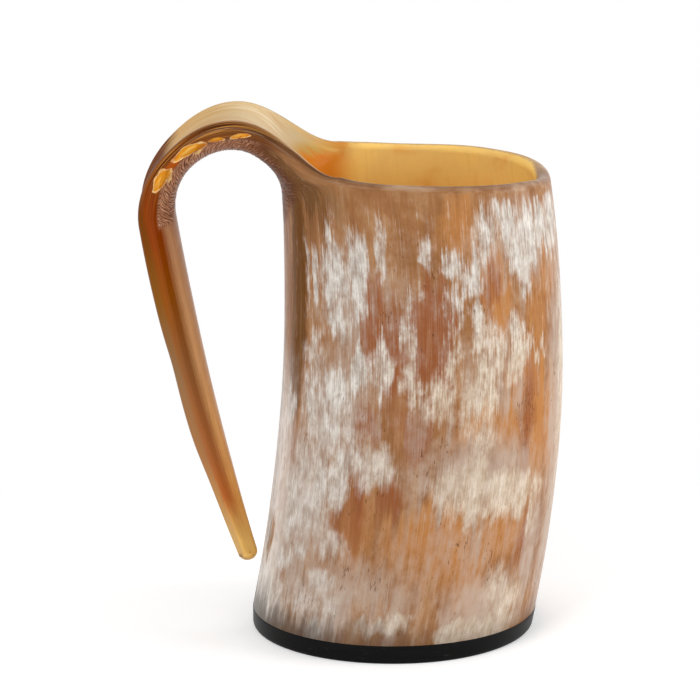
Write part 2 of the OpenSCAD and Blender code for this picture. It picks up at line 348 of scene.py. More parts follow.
def tongue_row(k):
    """Point numbers of a row of the handle; row 0 is the wall's last row."""
    first = CUP_ROWS * COLUMNS if k == 0 else (CUP_ROWS + 1) * COLUMNS + (k - 1) * TONGUE_COLUMNS
    return first + np.arange(TONGUE_COLUMNS)


def strip(low, high, closed):
    """Four-sided faces between two rows of point numbers, outward side out."""
    i = np.arange(len(low) if closed else len(low) - 1)
    j = (i + 1) % len(low)
    return np.stack([low[i], high[i], high[j], low[j]], 1)


def free_edge():
    """Point numbers all round the rim, along the handle and back."""
    last = TONGUE_COLUMNS - 1
    rim = wall_row(CUP_ROWS)[np.arange(last, COLUMNS + 1) % COLUMNS]
    there = [tongue_row(k)[0] for k in range(1, TONGUE_ROWS + 1)]
    back = [tongue_row(k)[last] for k in range(TONGUE_ROWS, 0, -1)]
    return np.concatenate([rim, there, tongue_row(TONGUE_ROWS)[1:last], back])


def fill_grooves(points, edge, size):
    """Points moved out where the leg's crowned under face meets its rounded edge in a groove."""
    rim, middle = COLUMNS + 2 - TONGUE_COLUMNS, TONGUE_COLUMNS // 2
    rows = np.array([tongue_row(k) for k in range(1, TONGUE_ROWS + 1)])
    run = np.gradient((points[rows[:, middle]] + points[rows[:, middle] + size]) / 2, axis=0)[:, None]
    fade = smooth(np.arange(TONGUE_ROWS), *GROOVE_ROWS)[:, None, None]
    for side in (-1, 1):
        inner = rows[:, :GROOVE_COLUMNS][:, ::-1] if side < 0 else rows[:, -GROOVE_COLUMNS:]
        place = rim + np.arange(TONGUE_ROWS) if side < 0 else len(edge) - 1 - np.arange(TONGUE_ROWS)
        lips = 2 * size + np.arange(GROOVE_LIPS) * len(edge) + place[:, None]
        at = points[np.concatenate([inner, lips], 1)]
        start = at[:, 1:-1].copy()
        for _ in range(GROOVE_PASSES):
            out = np.cross(at[:, 2:] - at[:, :-2], run)
            out *= side * np.sign(out[:, -1:, 1:2]) / np.linalg.norm(out, axis=2, keepdims=True)
            push = ((at[:, 2:] + at[:, :-2]) / 2 - at[:, 1:-1]) * out
            at[:, 1:-1] += np.maximum(push.sum(2, keepdims=True), 0) * out
        points[np.concatenate([inner, lips], 1)[:, 1:-1]] = start + (at[:, 1:-1] - start) * fade


def horn_mesh():
    """The horn's points, faces and values at each point."""
    skin, skin_grain, skin_depth, skin_share = horn_face(0)
    bore, bore_grain, bore_depth, bore_share = horn_face(1)
    edge = free_edge()
    size, count = len(skin), len(edge)
    middle = (skin[edge] + bore[edge]) / 2
    across = skin[edge] - bore[edge]
    run = np.roll(middle, -LIP_REACH, 0) - np.roll(middle, LIP_REACH, 0)
    outward = np.cross(run, across)
    outward /= np.linalg.norm(outward, axis=1)[:, None]
    reach = np.linalg.norm(across, axis=1)[:, None] * EDGE_ROUND_SHARE
    shares = np.arange(1, LIP_POINTS + 1) / (LIP_POINTS + 1)
    points, grain, handle = [skin, bore], [skin_grain, bore_grain], [skin_share, bore_share]
    for share in shares:
        angle = pi * share
        points.append(middle + across / 2 * cos(angle) + outward * reach * sin(angle))
        grain.append(skin_grain[edge] * (1 - share) + bore_grain[edge] * share)
        handle.append(skin_share[edge] * (1 - share) + bore_share[edge] * share)
    depth = np.concatenate([skin_depth, bore_depth, np.repeat(shares, count)])
    lips = [2 * size + i * count + np.arange(count) for i in range(LIP_POINTS)]
    rows = [edge, *lips, edge + size]
    sheet = [strip(wall_row(r), wall_row(r + 1), True) for r in range(CUP_ROWS)]
    sheet += [strip(tongue_row(k), tongue_row(k + 1), False) for k in range(TONGUE_ROWS)]
    sheet = np.concatenate(sheet)
    seat = strip(wall_row(0) + size, wall_row(0), True)
    rounds = [strip(a, b, True) for a, b in zip(rows[:-1], rows[1:])]
    faces = np.concatenate([sheet, sheet[:, ::-1] + size, seat, *rounds])
    values = {"grain": np.concatenate(grain), "depth": depth, "handle": np.concatenate(handle)}
    points = np.concatenate(points)
    fill_grooves(points, edge, size)
    return points, faces, values


# Wear on the horn, with ranges as lengths along the grain: wrinkles inside the bend
WRINKLE_HEIGHT = 0.2
WRINKLE_SPACING = 0.75
WRINKLE_START = (124, 138)
WRINKLE_ANGLE = 40
WRINKLE_SPREADS = (1.9, 30)
WRINKLE_BEND = (158, 170)
WRINKLE_END = (191.3, 193)

# The near rim, lifted between some angles from the handle's middle, and more at the neck's corner
RIM_RISE = 1.1
RIM_LENGTHS = (120, 149)
RIM_START = (24, 50)
RIM_END = (130, 178)
CORNER_RISE = 2.6
CORNER_START = (149, 155)
CORNER_END = (155, 172)

# Open layers along the near edge, by their places through it
LAYERS = (0.44, 0.56, 0.66, 0.76, 0.88)
LAYER_DEPTH = 0.11
LAYER_WIDTH = 0.022
LAYER_WANDER = 0.035
LAYER_START = (151, 160)
LAYER_END = (188, 200)

# Soft swells as waves: turns round the horn, turn per length, start and share
SWELL = 0.05
SWELLS = ((3, 0.06, 0, 1), (7, -0.045, 1, 1), (11, 0.11, 2, 0.7))

# The kink in the leg: where its back stands out and falls in, with their reach
KINK = 0.4
KINK_OUT = (272, 11)
KINK_IN = (246, 9)
KINK_START = (205, 220)

# Each chip's length along the grain, place through the edge, half sizes, slant and how much it narrows
CHIP_DEPTH = 0.5
CHIPS = (
    (188.8, 0.27, 3.5, 0.27, 0.03, 0.45), (179.2, 0.25, 4.8, 0.22, 0.035, 0.35),
    (171.9, 0.2, 1.9, 0.11, 0.02, 0.2), (166.4, 0.25, 2.4, 0.1, -0.03, -0.2),
)
CHIP_SIDES = ((0, 1), (52, 0.9), (100, 1), (150, 1.06), (205, 0.92), (262, 1), (310, 1.04))

# Cells of the seeded noise, each way
CELLS = 89


def lattice(seed, u, v):
    """Smooth seeded noise from -1 to 1."""
    table = np.random.default_rng(seed).uniform(-1, 1, (CELLS, CELLS))
    i, j = np.floor(u).astype(int), np.floor(v).astype(int)
    s, t = smooth(u - i, 0, 1), smooth(v - j, 0, 1)
    left, right = i % CELLS, (i + 1) % CELLS
    low, high = (
        table[left, k % CELLS] * (1 - s) + table[right, k % CELLS] * s for k in (j, j + 1)
    )
    return low * (1 - t) + high * t


def wrinkles(points, values):
    """Height of the wrinkles across the grain, from -1 to 1, and where they are, from 0 to 1."""
    grain, depth = values["grain"], values["depth"]
    length, side = grain[:, 2], points[:, 1]
    across = side + EDGE_WAY * np.clip(depth, 0, 1) * np.sign(side)
    wander = lattice(3, across / 2.6, length / 2.2)
    ridges = np.sin(2 * pi * (length / WRINKLE_SPACING + 0.6 * wander))
    wander = lattice(5, across / 1.8, length / 1.5)
    creases = np.sin(2 * pi * (length / WRINKLE_SPACING * 0.63 + 0.8 * wander))
    height = (ridges + 0.8 * creases) / 1.8 * (0.75 + 0.25 * lattice(7, across / 2, length / 3))
    angle = np.degrees(np.arctan2(np.abs(grain[:, 1]), -grain[:, 0]))
    limit = WRINKLE_ANGLE + WRINKLE_SPREADS[0] * np.minimum(length - ROOT_HEIGHT, 0)
    limit += WRINKLE_SPREADS[1] * smooth(length, *WRINKLE_BEND)
    near = 1 - smooth(angle - limit, -6, 6)
    near *= smooth(length, *WRINKLE_START) * (1 - smooth(length - 0.8 * np.abs(side), *WRINKLE_END))
    near *= 1 - smooth(depth, 0.04, 0.17)
    return height * near, near


def chips(points, values):
    """Field of the chips: above 0 inside one and below 0 outside."""
    length, depth = values["grain"][:, 2], values["depth"]
    rough = 0.22 * lattice(11, length / 2.1, depth / 0.12) + 0.12 * lattice(13, length / 0.8, depth / 0.05)
    field = np.full(len(points), -1.0)
    for place, middle, reach, width, slant, taper in CHIPS:
        u = (length - place) / reach
        v = (depth - middle - slant * (length - place)) / width / (1 - taper * np.clip(u, -1, 1))
        sides = [(u * cos(radians(a)) + v * sin(radians(a))) / r for a, r in CHIP_SIDES]
        spot = 1 - np.max(sides, axis=0) ** 2
        field = np.maximum(field, spot + rough * (spot > -0.8))
    return np.where((points[:, 1] < 0) & (depth < 1), np.clip(field, -1, 1), -1.0)


def layers(values):
    """Depth of the grooves between the horn's layers, where the bent edge cuts through them."""
    length, depth = values["grain"][:, 2], values["depth"]
    groove, level = np.zeros(len(length)), np.full(len(length), 0.5)
    for i, place in enumerate(LAYERS):
        wander = place + LAYER_WANDER * lattice(17 + i, length / 11, level)
        open_ = 0.5 + 0.5 * lattice(29 + i, length / 6, level)
        groove += open_ * np.exp(-((depth - wander) / LAYER_WIDTH) ** 2)
    return groove * smooth(length, *LAYER_START) * (1 - smooth(length, *LAYER_END))


def raise_rim(points, values):
    """Lifts the near rim a little, and most where it has run into the handle."""
    grain = values["grain"]
    length = grain[:, 2]
    angle = np.degrees(np.arctan2(-grain[:, 1], -grain[:, 0]))
    rim = smooth(length, *RIM_LENGTHS) * smooth(angle, *RIM_START) * (1 - smooth(angle, *RIM_END))
    rise = RIM_RISE + (CORNER_RISE - RIM_RISE) * smooth(length, *CORNER_START)
    points[:, 2] += rise * rim * (1 - smooth(length, *CORNER_END))


def normals(points, faces):
    corners = points[faces]
    across = np.cross(corners[:, 2] - corners[:, 0], corners[:, 3] - corners[:, 1])
    result = np.zeros_like(points)
    for i in range(4):
        np.add.at(result, faces[:, i], across)
    return result / np.linalg.norm(result, axis=1)[:, None]


def fitted(points, node):
    """Points stretched a little to fill their solid's box."""
    low, high = (np.array(corner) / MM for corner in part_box(node))
    bottom, top = points.min(0), points.max(0)
    return low + (points - bottom) * (high - low) / (top - bottom)


def worn_horn():
    """The horn's mesh with its wear and soft swells, fitted to its solid's box."""
    points, faces, values = horn_mesh()
    raise_rim(points, values)
    turned = np.arctan2(values["grain"][:, 1], -values["grain"][:, 0])
    length = values["grain"][:, 2]
    waves = (share * np.sin(turns * turned + rate * length + at) for turns, rate, at, share in SWELLS)
    lift = SWELL * sum(waves)
    values["wrinkle"], values["creased"] = wrinkles(points, values)
    values["chip"] = chips(points, values)
    values["layer"] = layers(values)
    dent = CHIP_DEPTH * smooth(values["chip"], 0, 0.3)
    dent *= 0.8 + 0.4 * lattice(19, length / 1.5, values["depth"] / 0.08)
    lift += WRINKLE_HEIGHT * values["wrinkle"] - dent - LAYER_DEPTH * values["layer"]
    out, in_ = (np.exp(-((length - place) / reach) ** 2) for place, reach in (KINK_OUT, KINK_IN))
    lift += KINK * (out - in_) * smooth(values["depth"], 0.3, 0.8) * smooth(length, *KINK_START)
    lift *= smooth(length, BAND_HEIGHT, SEAT_TOP)
    points = points + normals(points, faces) * lift[:, None]
    return fitted(points, "horn_cup"), faces, values


# The base and the glue, as rings of points with the same columns; profiles give height and inset
BAND_PROFILE = (
    (0, 1.1), (0.05, 0.7), (0.25, 0.34), (0.6, 0.12), (1.1, 0),
    (2.5, 0), (4, 0), (5.6, 0), (5.85, 0.05), (6, 0.2),
)
SPIGOT_PROFILE = ((6, 0), (11.4, 0), (11.8, 0.15), (12, 0.5), (12, 6))
BEAD_STEPS = 9


def ring_at(z, end_inset, side_inset, outline_height):
    x, y = oval(ANGLES, outline_height, end_inset, side_inset)
    return np.stack([x, y, np.full(COLUMNS, float(z))], 1)


def rings_mesh(rings, closed):
    """Faces between rings. An open stack of rings is closed with a fan at both ends."""
    count = len(rings)
    points = np.concatenate(rings)
    numbers = np.arange(len(points)).reshape(count, COLUMNS)
    pairs = [(i, (i + 1) % count) for i in range(count if closed else count - 1)]
    faces = [face for a, b in pairs for face in strip(numbers[a], numbers[b], True).tolist()]
    if not closed:
        ends = [points[numbers[0]].mean(0), points[numbers[-1]].mean(0)]
        first = len(points)
        points = np.concatenate([points, ends])
        for i in range(COLUMNS):
            faces.append([first, numbers[0][i - 1], numbers[0][i]])
            faces.append([first + 1, numbers[-1][i], numbers[-1][i - 1]])
    return points, faces


def base_mesh():
    """The base: a band with a rounded lower edge, drawn in at one end, and the spigot inside the horn."""
    rings = []
    for z, inset in BAND_PROFILE:
        ring = ring_at(z, inset, inset, BAND_HEIGHT)
        ring[:, 0] -= BASE_SLOPE * (1 - z / BAND_HEIGHT) * smooth(ring[:, 0], 0, FOOT_WIDTH / 2)
        rings.append(ring)
    for z, inset in SPIGOT_PROFILE:
        rings.append(ring_at(z, END_WALL + GLUE_GAP + inset, SIDE_WALL + GLUE_GAP + inset, SEAT_TOP))
    points, faces = rings_mesh(rings, False)
    return fitted(points, "base_plug"), faces


def glue_mesh():
    """The glue: a thin sleeve round the spigot, and a hollow bead in the corner above it."""
    bead = GLUE_GAP + BEAD_SIZE
    profile = [(BAND_HEIGHT, 0), (SPIGOT_TOP, 0)]
    for share in np.linspace(0, 1, BEAD_STEPS):
        turned = pi / 2 * share
        profile.append((SEAT_TOP - BEAD_SIZE * sin(turned), bead * (1 - cos(turned))))
    profile += [(SPIGOT_TOP, GLUE_GAP), (BAND_HEIGHT, GLUE_GAP)]
    rings = [ring_at(z, END_WALL + i, SIDE_WALL + i, SEAT_TOP) for z, i in profile]
    points, faces = rings_mesh(rings, True)
    return fitted(points, "glue_seal"), faces


def add_object(name, data):
    """A new object in the scene."""
    added = bpy.data.objects.new(name, data)
    bpy.context.scene.collection.objects.link(added)
    return added


def make_piece(name, points, faces, values, node, slot, material):
    """A smooth mesh piece, in metres, that rides on the body and stands for a node."""
    mesh = bpy.data.meshes.new(name)
    mesh.from_pydata((points * MM).tolist(), [], [list(map(int, face)) for face in faces])
    mesh.polygons.foreach_set("use_smooth", np.ones(len(mesh.polygons), bool))
    for key, value in values.items():
        kind, field = ("FLOAT_VECTOR", "vector") if value.ndim == 2 else ("FLOAT", "value")
        layer = mesh.attributes.new(key, kind, "POINT")
        scaled = value * MM if value.ndim == 2 else value
        layer.data.foreach_set(field, scaled.astype(np.float32).ravel())
    mesh.materials.append(material)
    mesh.validate()
    piece = add_object(name, mesh)
    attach(piece, "root")
    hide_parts(node)
    return piece


class Nodes:
    """Short calls that build the nodes of a material or world. An input takes a link or a plain value."""

    def __init__(self, owner, shader="Principled BSDF"):
        owner.use_nodes = True
        self.owner = owner
        self.tree = owner.node_tree
        self.shader = self.tree.nodes[shader]

    def feed(self, socket, value):
        if isinstance(value, bpy.types.NodeSocket):
            self.tree.links.new(value, socket)
        else:
            socket.default_value = value

    def put(self, name, value):
        self.feed(self.shader.inputs[name], value)

    def add(self, kind, inputs, output=0, **settings):
        node = self.tree.nodes.new("ShaderNode" + kind)
        for key, value in settings.items():
            setattr(node, key, value)
        for key, value in inputs.items():
            self.feed(node.inputs[key], value)
        return node.outputs[output]

    def attribute(self, name, output="Fac"):
        return self.add("Attribute", {}, output, attribute_name=name)

    def math(self, operation, *values):
        return self.add("Math", dict(enumerate(values)), operation=operation)

    def times(self, first, *others):
        for other in others:
            first = self.math("MULTIPLY", first, other)
        return first

    def total(self, *terms):
        """Sum of values, or of pairs of a value and its weight."""
        value = 0
        for term in terms:
            term, weight = term if isinstance(term, tuple) else (term, 1)
            value = self.math("MULTIPLY_ADD", term, weight, value)
        return value

    def vector(self, operation, *values, output=0):
        return self.add("VectorMath", dict(enumerate(values)), output, operation=operation)

    def split(self, vector):
        return self.add("SeparateXYZ", {0: vector}).node.outputs

    def join(self, x, y, z):
        return self.add("CombineXYZ", {0: x, 1: y, 2: z})

    def step(self, value, low, high, end=1, start=0):
        inputs = {0: value, 1: low, 2: high, 3: start, 4: end}
        return self.add("MapRange", inputs, interpolation_type="SMOOTHSTEP")

    def mix(self, share, first, second, blend="MIX"):
        inputs = {0: share, 6: first, 7: second}
        return self.add("Mix", inputs, 2, data_type="RGBA", blend_type=blend)

    def tint(self, colour, over, *shares):
        return self.mix(self.times(*shares), colour, srgb(*over))

    def noise(self, place, detail=2, roughness=0.5):
        inputs = {"Vector": place, "Scale": 1, "Detail": detail, "Roughness": roughness}
        return self.add("TexNoise", inputs)

    def ramp(self, value, stops):
        output = self.add("ValToRGB", {0: value})
        points = output.node.color_ramp.elements
        while len(points) < len(stops):
            points.new(1)
        for point, (place, colour) in zip(points, stops):
            point.position, point.color = place, srgb(*colour)
        return output

    def bump(self, height, distance):
        return self.add("Bump", {"Height": height, "Distance": distance, "Strength": 1})

    def seen(self):
        """1 for rays from the camera, a reflection or a clear material, and 0 for light."""
        path = self.add("LightPath", {}).node.outputs
        onward = self.math("MAXIMUM", path["Is Glossy Ray"], path["Is Transmission Ray"])
        return self.math("MAXIMUM", path["Is Camera Ray"], onward)


def srgb(red, green, blue):
    """A colour written as 0 to 255 in sRGB, made linear."""
    parts = [c / 255 for c in (red, green, blue)]
    return tuple(c / 12.92 if c <= 0.04045 else ((c + 0.055) / 1.055) ** 2.4 for c in parts) + (1,)


# Spots on the unrolled skin: arc from the front's middle and height of the middle, half sizes, strength
PALE_SPOTS = (
    # Upper left
    (-38.8, 120, 1.2, 8, 0.3), (-34.5, 122, 2.2, 9, 0.9), (-26, 121, 5.5, 9, 0.85),
    (-28, 115, 3, 5, 0.7), (-27, 133, 1.6, 5, 0.35), (-17, 124, 3.6, 12, 0.95), (-26, 107, 5, 6, 0.6),
    (-17, 112, 2.4, 4, 0.5), (-9.5, 129, 1.2, 8, 0.4), (-3.5, 107, 1.8, 9, 0.5), (-10, 95, 2.6, 9, 0.7),
    (-14, 92, 2, 4, 0.2), (-18, 94, 3, 8, 1), (-26, 85, 6, 7.5, 0.7), (-36, 95, 4, 5, 0.35),
    (-36, 80, 4.5, 10, 0.6), (-3.5, 89, 2.2, 8, 0.5), (-48.5, 77, 3.2, 5.5, 0.9),
    # Lower left
    (-28, 73, 11, 8, 0.45), (-36, 60, 8, 10, 0.45), (-43, 52, 4, 8, 0.55), (-24, 56, 4.5, 9, 1),
    (-30, 55, 4, 10, 0.8), (-35, 46, 9, 9, 0.5), (-11, 62, 5.5, 7, 0.8), (-16, 63, 4, 7, 0.55),
    (-22, 63, 4, 6, 0.8), (-36, 33, 3.5, 2.5, 0.6), (-24, 37, 4.5, 4, 0.3), (-44, 28, 5, 4, 0.6),
    (-42, 42, 5, 7, 0.5), (-26, 25, 5, 3.5, 0.6), (-28, 17, 9, 6, 0.2), (-3, 12.5, 6, 3, 0.6),
    # The spot at arc -63 is painted light on the left side, where the cup turns away.
    (-10, 11, 3, 2.5, 0.3), (-26, 8, 4, 5, 0.8), (-48, 13, 11, 8, 0.7), (-63, 46, 8, 52, 1),
    # Upper right
    (0.8, 128, 0.9, 6, 0.45), (7, 126, 2.6, 5, 0.6), (13, 122, 2, 9, 0.85), (10.5, 120, 2.2, 4, 0.4),
    (17, 134, 3.4, 8, 0.55), (25, 138, 5, 7, 0.9), (28, 127, 4, 8, 0.8), (34, 131, 5, 11, 1),
    (32, 121, 2.8, 7, 1), (42, 134, 5, 9, 1), (52, 136, 8, 12, 0.9), (6, 95, 2, 8, 0.5),
    (7, 114, 2, 6, 0.35), (12.8, 107, 1.8, 12, 0.75), (16.5, 103, 2, 7, 0.4), (21, 98, 2, 8, 0.4),
    (28.5, 98, 4.5, 6.5, 0.95), (27, 104, 3, 6, 0.7), (25, 91, 2, 4, 0.4), (37, 96, 4, 2, 0.45),
    (15, 92, 3, 7, 0.5), (17, 83, 3.5, 8, 0.7), (12, 82, 3, 9, 0.35), (3, 84, 3, 8, 0.5),
    # Lower right
    (8, 54, 5, 8, 0.4), (15, 55, 5, 11, 0.75), (25, 53, 7, 9, 0.95), (32, 51, 4, 7.5, 0.9),
    (21, 47, 2.5, 5, 0.8), (39, 52, 2.5, 5, 0.6), (17, 70, 3, 7, 0.3), (39, 43, 2, 7, 0.4),
    (15, 8, 5, 4, 1), (24, 8, 11, 5, 1), (34, 9, 4, 6, 0.9), (33, 16, 5, 7, 0.5),
    (27, 22, 3, 6, 0.3),
    # Back, right of the seam
    (59, 82, 7, 40, 0.6), (72, 118, 6, 14, 0.7), (78, 108, 5, 12, 0.8), (84, 122, 4, 9, 0.6),
    (70, 98, 4, 10, 0.5), (76, 70, 5, 12, 0.6), (84, 62, 6, 10, 0.8), (92, 72, 5, 13, 0.7),
    (99, 64, 4, 9, 0.6), (88, 50, 7, 6, 0.5), (68, 40, 8, 10, 0.6), (77, 32, 6, 7, 0.7),
    (70, 20, 7, 6, 0.5), (104, 120, 4, 12, 0.6), (110, 112, 5, 10, 0.8), (117, 124, 4, 10, 0.6),
    (113, 98, 3, 9, 0.5), (121, 70, 5, 14, 0.7), (116, 58, 4, 7, 0.5), (96, 28, 7, 8, 0.7),
    (106, 22, 6, 9, 0.6), (114, 30, 5, 6, 0.5), (122, 18, 6, 7, 0.6), (100, 10, 10, 5, 0.6),
    # Back, left of the seam
    (-70, 52, 8, 16, 0.4), (-74, 104, 4, 12, 0.6), (-80, 95, 5, 10, 0.7), (-86, 108, 4, 9, 0.5),
    (-77, 82, 4, 8, 0.5), (-86, 64, 5, 12, 0.7), (-93, 56, 6, 9, 0.8), (-100, 66, 4, 10, 0.6),
    (-90, 42, 5, 7, 0.6), (-106, 112, 5, 13, 0.7), (-113, 104, 5, 10, 0.8), (-119, 114, 4, 10, 0.6),
    (-109, 92, 3.5, 8, 0.5), (-122, 74, 4, 13, 0.7), (-116, 60, 4, 7, 0.5), (-96, 24, 6, 9, 0.6),
    (-104, 32, 5, 8, 0.7), (-112, 20, 6, 8, 0.6), (-122, 28, 5, 7, 0.5), (-84, 16, 8, 6, 0.6),
    (-108, 8, 9, 4, 0.6),
)
# Milky clouding of the horn; the spots from arc 41 outward on the right are painted light and reflection
# where the cup turns away.
HAZE_AND_LIMB_LIGHT_SPOTS = (
    (-33, 107, 5, 10, 0.4), (-40, 42, 18, 36, 1), (-26, 82, 18, 24, 0.8), (41, 30, 6, 26, 0.9),
    (57, 40, 13, 44, 1), (57, 95, 11, 40, 0.9), (20, 92, 16, 18, 0.6), (18, 60, 24, 16, 0.9),
    (30, 130, 22, 18, 0.7), (50, 80, 9, 66, 0.8), (-22, 116, 14, 20, 0.6), (-4, 112, 7, 24, 0.2),
    (-20, 20, 30, 16, 0.8), (24, 16, 18, 14, 1), (0, 76, 12, 12, 0.2), (14, 36, 24, 16, 0.35),
    (78, 96, 16, 34, 0.8), (92, 56, 20, 26, 0.9), (-94, 74, 20, 40, 0.9), (104, 20, 22, 16, 0.8),
    (-104, 20, 22, 16, 0.8), (112, 108, 14, 26, 0.6), (-112, 106, 14, 24, 0.7),
)
AMBER_SPOTS = (
    (18.5, 120, 5, 9, 1.2), (20, 111, 5, 11, 0.9), (37, 108, 6, 16, 0.3), (45, 118, 6, 9, 0.5),
    (38, 74, 6, 20, 1), (46, 72, 5, 20, 0.8), (34, 89, 8, 5, 0.8), (28, 87, 5, 6, 0.7),
    (9, 137, 6, 10, 0.5), (5, 40, 16, 11, 0.7), (27, 38, 10, 10, 0.6), (12, 34, 16, 12, 0.6),
    (-16, 40, 5, 12, 0.3), (18, 22, 8, 8, 0.5), (24, 74, 10, 9, 0.5), (14, 76, 6, 7, 0.6),
    # The spot at arc -57, with the umber spot at arc -58, is the painted shadow and reflection of the
    # handle's tip on the wall.
    (37, 64, 4, 8, 0.8), (-57, 36, 4, 9, 0.8), (62, 66, 12, 24, 0.7), (95, 105, 12, 20, 0.8),
    (-95, 90, 12, 20, 0.7), (-118, 45, 14, 18, 0.8),
)
RUSSET_SPOTS = (
    (2, 106, 6, 18, 1), (2, 95, 5, 11, 1), (18.5, 118, 4, 9, 0.6), (-13, 108, 5, 16, 0.8),
    (-7, 98, 5, 20, 0.8), (-47, 66, 4, 11, 0.6), (33, 78, 4, 18, 0.5), (-17, 45, 4, 13, 0.4),
    (-16, 55, 2.5, 7, 0.9), (-8, 53, 5, 6, 0.6), (-15, 75, 5, 7, 0.6), (-2, 75, 5, 9, 0.5),
    (-23, 46, 4, 5, 0.5), (36, 36, 4, 10, 0.5), (80, 60, 12, 24, 0.8), (-80, 120, 14, 20, 0.8),
)
UMBER_SPOTS = (
    (-43.5, 136, 5.5, 20, 1.2), (-45, 110, 6, 28, 1.2), (-47, 86, 5, 16, 1), (-32, 143, 12, 9, 0.3),
    # The spot at arc -58, with the amber spot at arc -57, is the painted shadow and reflection of the
    # handle's tip on the wall.
    (-35, 149, 8, 10, 1.3), (-21, 14, 2.2, 7, 0.5), (-33, 17, 2.2, 5, 0.5), (-58, 33, 4, 8, 0.9),
    (112, 138, 14, 12, 0.7),
)
# Where the handle's tip shades the left side, the painted light there is held back.
LIMB_SHADOW_SPOTS = ((-57, 34, 5, 9, 1),)
SPOT_FLOOR = -0.6


def patches(n, place, spots):
    """Largest of some oval spots: its strength at the middle, 0 at its edge and less outside."""
    field = SPOT_FLOOR
    for arc, height, half_arc, half_height, strength in spots:
        scale = (1 / (half_arc * MM), 1 / (half_height * MM), 0)
        shift = (-arc / half_arc, -height / half_height, 0)
        offset = n.vector("MULTIPLY_ADD", place, scale, shift)
        away = n.vector("DOT_PRODUCT", offset, offset, output="Value")
        field = n.math("MAXIMUM", field, n.math("MULTIPLY_ADD", away, -strength, strength))
    return field


def streaks(n, grain, across, along_grain, detail=2, roughness=0.5, shift=0):
    """Noise about 0 drawn out along the grain, with the size of its marks in millimetres."""
    scale = (1 / (across * MM), 1 / (across * MM), 1 / (along_grain * MM))
    noise = n.noise(n.vector("MULTIPLY_ADD", grain, scale, (shift, shift, shift)), detail, roughness)
    return n.math("SUBTRACT", noise, 0.5)


def sheets(n, depth, length, across, along_grain, shift, detail):
    """Noise in thin layers through the edge, drawn out along the grain."""
    return n.noise(n.join(n.times(depth, across), n.times(length, along_grain), shift), detail, 0.6)


